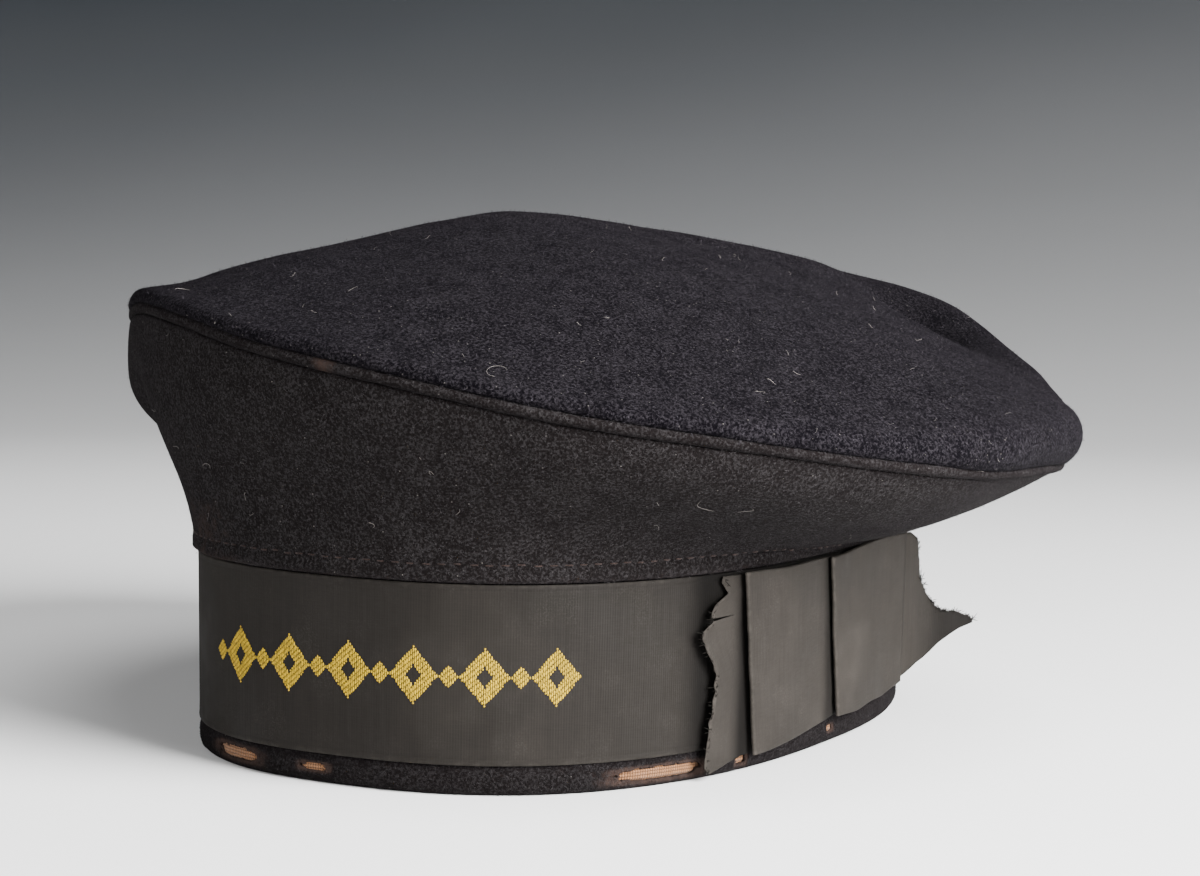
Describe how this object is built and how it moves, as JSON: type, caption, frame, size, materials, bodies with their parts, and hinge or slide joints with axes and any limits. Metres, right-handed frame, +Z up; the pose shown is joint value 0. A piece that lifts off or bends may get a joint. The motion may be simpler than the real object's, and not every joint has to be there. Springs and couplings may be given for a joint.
{
  "type": "sailor cap",
  "caption": "Worn dark wool sailor cap: soft round crown with a piped rim over an oval head band, ribbon and flat side bow with a flared tail.",
  "frame": {"origin": "on the surface the cap rests on, under the middle of its plan box", "axes": "+Z up; -Y towards the front of the cap; +X towards the wearer's left, where the bow is"},
  "size_m": [0.229, 0.231, 0.12],
  "materials": {
    "top_wool": "milled navy wool, near black, with grey nap and lint",
    "side_wool": "milled navy wool, browner and dustier than the top",
    "canvas": "tan woven canvas",
    "ribbon": "faded black ribbed silk with a woven gold motif"
  },
  "bodies": {
    "root": {"crown_top": "top_wool", "crown_side": "side_wool", "edge_piping": "side_wool", "band_cloth": "side_wool", "band_stiffener": "canvas", "ribbon": "ribbon", "bow_torn_end": "ribbon", "bow_front_pleat": "ribbon", "bow_rear_pleat": "ribbon", "bow_tail": "ribbon"}
  },
  "joints": []
}
